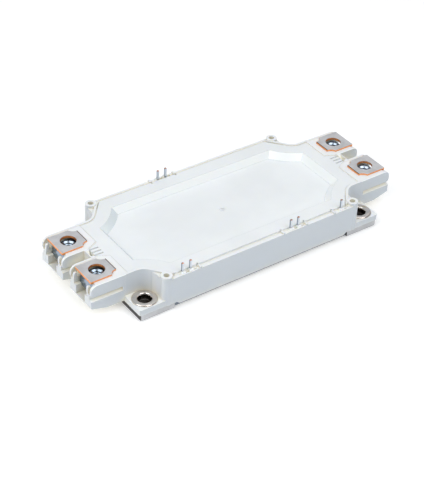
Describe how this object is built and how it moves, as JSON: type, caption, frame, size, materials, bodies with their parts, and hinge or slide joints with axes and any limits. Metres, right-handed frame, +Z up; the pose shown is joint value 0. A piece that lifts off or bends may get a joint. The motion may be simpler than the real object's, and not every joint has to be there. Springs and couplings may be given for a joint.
{
  "type": "igbt power module",
  "caption": "Flat half-bridge power transistor module with screw terminals at both ends, upright signal pins, a sunken lid field and a metal baseplate.",
  "frame": {"origin": "centre of the baseplate's bottom face", "axes": "+X along the module towards the end that the lone signal pin stands near, +Y towards the side with two pins, +Z up through the lid"},
  "size_m": [0.1524, 0.0624, 0.0205],
  "materials": {
    "baseplate_nickel": "matt nickel-plated copper, darker on the edges",
    "frame_plastic": "white glass-filled moulding, fine satin surface",
    "lid_plastic": "cool white moulding with a soft sheen",
    "bush_nickel": "bright nickel-plated sleeve",
    "terminal_nickel": "matt nickel-plated copper strip with bare cut edges",
    "nut_steel": "zinc-plated steel",
    "pin_metal": "tinned copper alloy with bare tips",
    "substrate_metal": "bonded copper",
    "substrate_white": "alumina",
    "chip_silicon": "metallised silicon",
    "wire_aluminium": "drawn aluminium wire",
    "sensor_body": "chip resistor body",
    "gel": "clear soft silicone"
  },
  "bodies": {
    "root": {"baseplate": "baseplate_nickel", "housing_frame": "frame_plastic", "lid": "lid_plastic", "mounting_bush_1": "bush_nickel", "mounting_bush_2": "bush_nickel", "mounting_bush_3": "bush_nickel", "mounting_bush_4": "bush_nickel", "power_terminal_1": "terminal_nickel", "power_terminal_2": "terminal_nickel", "power_terminal_3": "terminal_nickel", "power_terminal_4": "terminal_nickel", "terminal_nut_1": "nut_steel", "terminal_nut_2": "nut_steel", "terminal_nut_3": "nut_steel", "terminal_nut_4": "nut_steel", "signal_pin_1": "pin_metal", "signal_pin_2": "pin_metal", "signal_pin_3": "pin_metal", "signal_pin_4": "pin_metal", "signal_pin_5": "pin_metal", "signal_pin_6": "pin_metal", "signal_pin_7": "pin_metal", "substrate_copper_a": "substrate_metal", "substrate_ceramic_a": "substrate_white", "substrate_tracks_a": "substrate_metal", "igbt_chip_a1": "chip_silicon", "diode_chip_a1": "chip_silicon", "igbt_chip_a2": "chip_silicon", "diode_chip_a2": "chip_silicon", "bond_wires_a": "wire_aluminium", "substrate_copper_b": "substrate_metal", "substrate_ceramic_b": "substrate_white", "substrate_tracks_b": "substrate_metal", "igbt_chip_b1": "chip_silicon", "diode_chip_b1": "chip_silicon", "igbt_chip_b2": "chip_silicon", "diode_chip_b2": "chip_silicon", "bond_wires_b": "wire_aluminium", "substrate_copper_c": "substrate_metal", "substrate_ceramic_c": "substrate_white", "substrate_tracks_c": "substrate_metal", "igbt_chip_c1": "chip_silicon", "diode_chip_c1": "chip_silicon", "igbt_chip_c2": "chip_silicon", "diode_chip_c2": "chip_silicon", "bond_wires_c": "wire_aluminium", "temperature_sensor": "sensor_body", "silicone_gel": "gel"}
  },
  "joints": []
}
